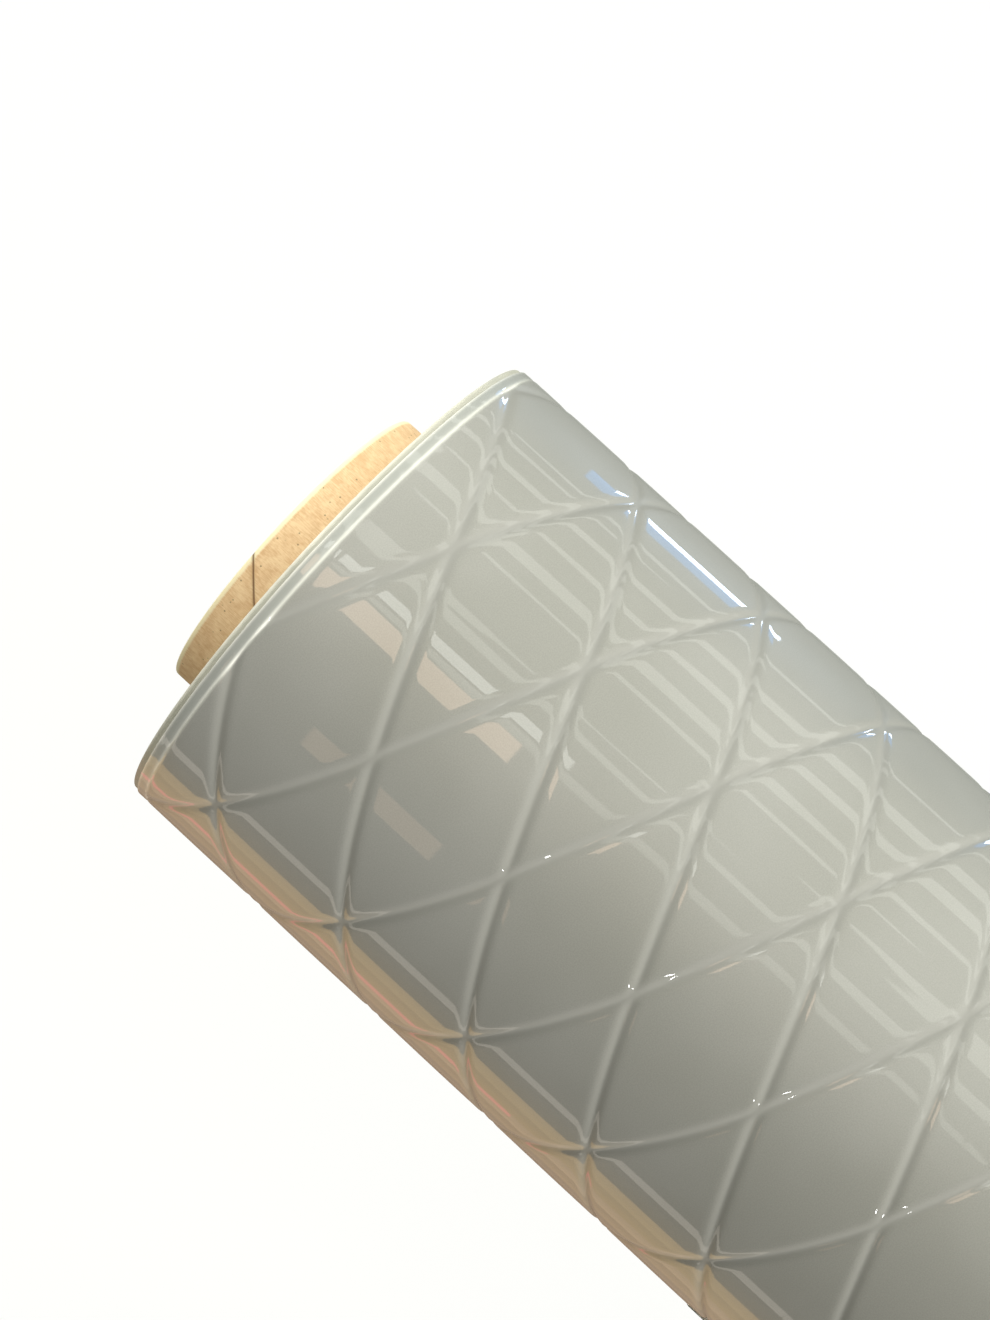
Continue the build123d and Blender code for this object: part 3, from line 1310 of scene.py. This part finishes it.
@dataclass
class Room:
    """Surrounding light, as rings of tone round the roll's axis, with thin streaks of light overhead.

    Directions are degrees round the axis, from the front, over the top, to the rear.
    """

    # Direction, and the tone there.
    tones: tuple = (
        (-180, "#767872"), (-163, "#6E706A"), (-158, "#3A2E28"), (-151, "#4A3A30"), (-146, "#5A5750"),
        (-91, "#66625A"), (-85, "#66625A"), (-82, "#5A5954"), (-20, "#6C6D68"), (12, "#94958E"),
        (40, "#BCBEB6"), (62, "#CCCEC6"), (100, "#C9CBC4"), (140, "#A0A39D"), (160, "#8A8C86"),
        (180, "#767872"),
    )
    strength: float = 1.87
    far_side_gain: float = 1.25
    near_side_gain: float = 1.35
    streak_width: float = 6.0
    streak_length: float = 0.5
    streak_strength: float = 2.2
    streaks_from: float = 25.0
    streaks_to: float = 128.0
    streaks_fade: float = 5.0
    streak_scale: float = 0.8
    streak_cut: tuple = (0.58, 0.59)
    side_reach: float = 0.8
    backdrop: str = "#FBFBFA"

    def streaks(self, tree: bpy.types.NodeTree, direction: bpy.types.NodeSocket,
                sideways: bpy.types.NodeSocket) -> bpy.types.NodeSocket:
        """Add the thin streaks of light overhead.

        Args:
            tree: the world's nodes.
            direction: direction round the axis in radians.
            sideways: slope along the axis.

        Returns:
            How much light the streaks add.
        """
        across = add_node(tree, "ShaderNodeMath", {
            0: direction, 1: 1 / math.radians(self.streak_width),
        }, operation="MULTIPLY")
        along = add_node(tree, "ShaderNodeMath", {
            0: sideways, 1: 1 / self.streak_length,
        }, operation="MULTIPLY")
        place = add_node(tree, "ShaderNodeCombineXYZ", {"X": across.outputs[0], "Y": along.outputs[0]})
        noise = add_node(tree, "ShaderNodeTexNoise", {
            "Vector": place.outputs["Vector"], "Scale": self.streak_scale, "Detail": 1.5, "Roughness": 0.55,
        }, noise_dimensions="2D")
        crisp = add_node(tree, "ShaderNodeMapRange", {
            "Value": noise.outputs["Fac"], "From Min": self.streak_cut[0], "From Max": self.streak_cut[1],
        })
        opening = add_node(tree, "ShaderNodeMapRange", {
            "Value": direction,
            "From Min": math.radians(self.streaks_from - self.streaks_fade),
            "From Max": math.radians(self.streaks_from),
        })
        closing = add_node(tree, "ShaderNodeMapRange", {
            "Value": direction,
            "From Min": math.radians(self.streaks_to),
            "From Max": math.radians(self.streaks_to + self.streaks_fade),
            "To Min": 1.0, "To Max": 0.0,
        })
        within = add_node(tree, "ShaderNodeMath", {
            0: opening.outputs["Result"], 1: closing.outputs["Result"],
        }, operation="MULTIPLY")
        shown = add_node(tree, "ShaderNodeMath", {
            0: crisp.outputs["Result"], 1: within.outputs[0],
        }, operation="MULTIPLY")
        added = add_node(tree, "ShaderNodeMath", {
            0: shown.outputs[0], 1: self.streak_strength,
        }, operation="MULTIPLY")
        return added.outputs[0]

    def build(self) -> None:
        """Build the surrounding light, pale where the camera sees it."""
        world = bpy.data.worlds.new("soft_studio")
        bpy.context.scene.world = world
        world.use_nodes = True
        tree = world.node_tree
        tree.nodes.clear()
        place = add_node(tree, "ShaderNodeTexCoord")
        split = add_node(tree, "ShaderNodeSeparateXYZ", {"Vector": place.outputs["Generated"]})
        front = add_node(tree, "ShaderNodeMath", {0: split.outputs["Y"], 1: -1.0}, operation="MULTIPLY")
        direction = add_node(tree, "ShaderNodeMath", {
            0: split.outputs["Z"], 1: front.outputs[0],
        }, operation="ARCTAN2")
        ring = add_node(tree, "ShaderNodeMath", {
            0: direction.outputs[0], 1: 1 / (2 * math.pi), 2: 0.5,
        }, operation="MULTIPLY_ADD")
        ramp = add_node(tree, "ShaderNodeValToRGB", {"Fac": ring.outputs[0]})
        stops = ramp.color_ramp.elements
        for number, (turn, tone) in enumerate(self.tones):
            place_on_ramp = turn / FULL_TURN + 0.5
            stop = stops[number] if number < 2 else stops.new(place_on_ramp)
            stop.position = place_on_ramp
            stop.color = linear(tone)
        radius = add_node(tree, "ShaderNodeCombineXYZ", {"Y": split.outputs["Y"], "Z": split.outputs["Z"]})
        off_axis = add_node(tree, "ShaderNodeVectorMath", {0: radius.outputs["Vector"]}, operation="LENGTH")
        sideways = add_node(tree, "ShaderNodeMath", {
            0: split.outputs["X"], 1: off_axis.outputs["Value"],
        }, operation="DIVIDE")
        gain = add_node(tree, "ShaderNodeMapRange", {
            "Value": split.outputs["X"], "From Min": -self.side_reach, "From Max": self.side_reach,
            "To Min": self.near_side_gain, "To Max": self.far_side_gain,
        })
        extra = self.streaks(tree, direction.outputs[0], sideways.outputs[0])
        level = add_node(tree, "ShaderNodeMath", {0: extra, 1: self.strength}, operation="ADD")
        strength = add_node(tree, "ShaderNodeMath", {
            0: level.outputs[0], 1: gain.outputs["Result"],
        }, operation="MULTIPLY")
        surround = add_node(tree, "ShaderNodeBackground", {
            "Color": ramp.outputs["Color"], "Strength": strength.outputs[0],
        })
        pale = add_node(tree, "ShaderNodeBackground", {"Color": linear(self.backdrop), "Strength": 1.0})
        path = add_node(tree, "ShaderNodeLightPath")
        mixed = add_node(tree, "ShaderNodeMixShader", {
            0: path.outputs["Is Camera Ray"], 1: surround.outputs[0], 2: pale.outputs[0],
        })
        add_node(tree, "ShaderNodeOutputWorld", {"Surface": mixed.outputs[0]})


@dataclass
class Studio:
    """Plain pale floor, the surrounding light, two lights, a flag and the light cards.

    The raking light is distant, so only its direction counts: it comes from side_light_from, seen from the
    origin.
    """

    floor_height: float = -0.24
    floor_size: float = 80.0
    floor_centre: float = 0.6
    floor_roughness: float = 0.95
    floor_colour: str = "#FAFAF8"
    floor_glow: float = 0.93
    floor_albedo: str = "#4A4A49"
    side_light_from: tuple = (2.48, -1.2, 0.57)
    side_light_spread: float = 24.0
    side_light_strength: float = 7.0
    flag_place: tuple = (1.31, 0.0, 0.01)
    flag_size: tuple = (0.22, 0.24)
    end_light_place: tuple = (-0.12, -0.17, 0.10)
    end_light_aim: tuple = (0.0, -0.03, 0.03)
    end_light_size: tuple = (0.12, 0.12)
    end_light_power: float = 0.145

    def cards(self) -> list[Card]:
        """List the light cards round the roll.

        Returns:
            The cards, each with its direction, distance, start and stop along the roll, height, colour
            and strength.
        """
        return [
            Card("rear_window", 143, 2.2, -0.10, 0.12, 0.13, "#CFE4FF", 15.0),
            Card("rear_window_sky", 139, 2.25, -0.14, 0.10, 0.32, "#8FC4FF", 2.6),
            Card("beige_panel", 19, 1.9, -0.27, 0.02, 0.30, "#F2D6BC", 5.0),
            Card("lit_door", 30, 1.9, -0.24, 0.05, 0.14, "#EEF1EA", 5.5),
            Card("brown_panel", -30, 1.9, -0.13, 0.03, 0.30, "#D8BCA2", 2.3),
            Card("low_strip", -79.5, 1.2, -0.9, 2.2, 0.09, "#EBE3D6", 1.85),
            Card("rose_strip", -112, 1.15, -0.9, 0.2, 0.06, "#EE9888", 2.4),
            Card("wood_floor_1", -97, 1.2, -0.9, 2.2, 0.168, "#E0BF8A", 1.95),
            Card("wood_floor_2", -105.5, 1.2, -0.9, 2.2, 0.189, "#E0BF8A", 1.45),
            Card("wood_floor_3", -114, 1.2, -0.9, 2.2, 0.168, "#E0C09A", 1.5),
            Card("wood_floor_4", -123, 1.2, -0.9, 2.2, 0.21, "#E0C09A", 1.02),
            Card("wood_floor_5", -133, 1.2, -0.9, 2.2, 0.21, "#E0C2A4", 0.74),
            Card("wood_floor_6", -143, 1.2, -0.9, 2.2, 0.21, "#E0C2A4", 0.54),
            Card("small_lamp", -13, 1.9, 0.85, 1.0, 0.05, "#FFFFFF", 60.0),
        ]

    def build_floor(self) -> None:
        """Build the floor, which doesn't light the roll from below."""
        bpy.ops.object.select_all(action="DESELECT")
        place = (self.floor_centre, 0, self.floor_height)
        bpy.ops.mesh.primitive_plane_add(size=self.floor_size, location=place)
        floor = bpy.context.object
        floor.name = "floor"
        material, _, shader = new_material("pale_paper_floor")
        feed(shader, {
            "Base Color": linear(self.floor_albedo), "Roughness": self.floor_roughness,
            "Specular IOR Level": 0.0,
            "Emission Color": linear(self.floor_colour), "Emission Strength": self.floor_glow,
        })
        floor.data.materials.append(material)
        floor.visible_diffuse = False
        floor.visible_glossy = False

    def add_light(self, name: str, kind: str, place: tuple, aim: tuple) -> bpy.types.Light:
        """Add one light that neither the gloss nor the camera sees.

        Args:
            name: the light's name.
            kind: its type.
            place: where it stands.
            aim: the point that it faces.

        Returns:
            The light's data.
        """
        data = bpy.data.lights.new(name, kind)
        light = bpy.data.objects.new(name, data)
        bpy.context.scene.collection.objects.link(light)
        light.location = place
        light.rotation_euler = (Vector(aim) - light.location).to_track_quat("-Z", "Y").to_euler()
        light.visible_glossy = False
        light.visible_camera = False
        return data

    def build_side_light(self) -> None:
        """Build the distant light that rakes along the sheet from its far end and shows the weld lines."""
        data = self.add_light("raking_light", "SUN", self.side_light_from, (0.0, 0.0, 0.0))
        data.energy = self.side_light_strength
        data.angle = math.radians(self.side_light_spread)

    def build_end_light(self) -> None:
        """Build the small soft light over the roll's near end."""
        data = self.add_light("near_end_softbox", "AREA", self.end_light_place, self.end_light_aim)
        data.shape = "RECTANGLE"
        data.size, data.size_y = self.end_light_size
        data.energy = self.end_light_power

    def build_flag(self) -> None:
        """Build the flag that keeps the raking light off the roll's far end."""
        bpy.ops.object.select_all(action="DESELECT")
        bpy.ops.mesh.primitive_plane_add(size=1.0, location=self.flag_place, rotation=(0, math.pi / 2, 0))
        flag = bpy.context.object
        flag.name = "end_flag"
        flag.scale = (self.flag_size[1], self.flag_size[0], 1.0)
        flag.visible_camera = False
        flag.visible_diffuse = False
        flag.visible_glossy = False
        flag.visible_transmission = False

    def build(self) -> None:
        """Build everything on the stage."""
        self.build_floor()
        self.build_side_light()
        self.build_flag()
        self.build_end_light()
        Room().build()
        for card in self.cards():
            card.build()
        bpy.context.scene.view_settings.view_transform = "Standard"


@dataclass(frozen=True)
class CameraRig:
    """Camera above and in front of the roll's near end, rolled so that the roll runs down to the right."""

    target: tuple = (0.0585, 0.0048, 0.0131)
    distance: float = 0.6932
    azimuth: float = -3.956
    elevation: float = 18.807
    roll: float = 41.197
    lens: float = 72.7
    sensor_height: float = 36.0
    clip_start: float = 0.01

    def build(self) -> None:
        """Build the camera and make it the scene's camera."""
        data = bpy.data.cameras.new("camera")
        data.sensor_fit = "VERTICAL"
        data.sensor_height = self.sensor_height
        data.lens = self.lens
        data.clip_start = self.clip_start
        camera = bpy.data.objects.new("camera", data)
        bpy.context.scene.collection.objects.link(camera)
        azimuth, elevation = math.radians(self.azimuth), math.radians(self.elevation)
        forward = Vector((
            math.sin(azimuth) * math.cos(elevation),
            math.cos(azimuth) * math.cos(elevation),
            -math.sin(elevation),
        ))
        rolled = Matrix.Rotation(math.radians(self.roll), 3, "Z")
        turn = forward.to_track_quat("-Z", "Y").to_matrix() @ rolled
        place = Vector(self.target) - forward * self.distance
        camera.matrix_world = Matrix.Translation(place) @ turn.to_4x4()
        bpy.context.scene.camera = camera


# ---------------------------------------------------------------------------------------------------------
# The whole roll
# ---------------------------------------------------------------------------------------------------------


def build_core(palette: Palette, bore_radius: float) -> None:
    """Build every ply of the core.

    Args:
        palette: the finishes.
        bore_radius: radius of the core's bore.
    """
    surface_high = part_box("core_surface_ply")[1]
    body_plies = sorted(n for n in frame["nodes"] if n.startswith("core_body_ply"))
    nodes = ["core_liner_ply", *body_plies, "core_surface_ply"]
    outer_radius = surface_high.y
    thickness = (outer_radius - bore_radius) / len(nodes)
    for number, node in enumerate(nodes):
        finish, slot = Finish.KRAFT_BOARD, "kraft_board"
        if node == nodes[0]:
            finish, slot = Finish.KRAFT_LINER, "kraft_liner"
        if node == nodes[-1]:
            finish, slot = Finish.KRAFT_SURFACE, "kraft_surface"
        at_face = number in (0, len(nodes) - 1)
        uneven = SAWN_BACK_STEPS[number % len(SAWN_BACK_STEPS)]
        ply = CorePly(
            node=node,
            outer_radius=bore_radius + (number + 1) * thickness,
            thickness=thickness,
            length=surface_high.x,
            finish=finish,
            slot=slot,
            seam_at=SURFACE_SEAM_AT + SEAM_STAGGER * (len(nodes) - 1 - number),
            sawn_back=0.0 if at_face else LEAST_SAWN_BACK + uneven,
        )
        ply.build(palette)


def build_tabs(palette: Palette, winding: Winding) -> None:
    """Build the tape tabs over the free edge.

    Args:
        palette: the finishes.
        winding: the sheet's spiral.
    """
    for node in sorted(n for n in frame["nodes"] if n.startswith("tape_tab")):
        low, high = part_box(node)
        TapeTab(node, winding, start=low.x, width=high.x - low.x).build(palette)
        LOG.info("%s: built", node)


def main() -> None:
    """Build the roll round its frame, then the stage."""
    logging.basicConfig(level=logging.INFO, format="%(name)s: %(message)s")
    winding = Winding.from_joints(frame["joints"])
    film_low, film_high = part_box("outer_turn_face_film")
    pack_low, pack_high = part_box("wound_sheet")
    core_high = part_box("core_surface_ply")[1]
    bore = next(m for m in frame["record"]["mounts"] if m["name"] == "core_bore")
    bore_radius = bore["dims"]["r_mm"] * MM
    CameraRig().build()
    palette = Palette(core_high.x)
    sheet = LatticeSheet(winding, Lattice(), film_low.x, film_high.x, SHEET_THICKNESS)
    WoundTurns(
        winding=winding,
        bore_radius=core_high.y + START_TAPE_THICKNESS,
        near_end=pack_low.x,
        far_end=pack_high.x,
        sheet_thickness=SHEET_THICKNESS,
        first_angle=sheet.first_angle,
    ).build(palette)
    sheet.build(palette)
    build_core(palette, bore_radius)
    palette.dress(frame["nodes"]["start_tape"], Finish.START_TAPE)
    build_tabs(palette, winding)
    Studio().build()


if __name__ == "__main__":
    main()
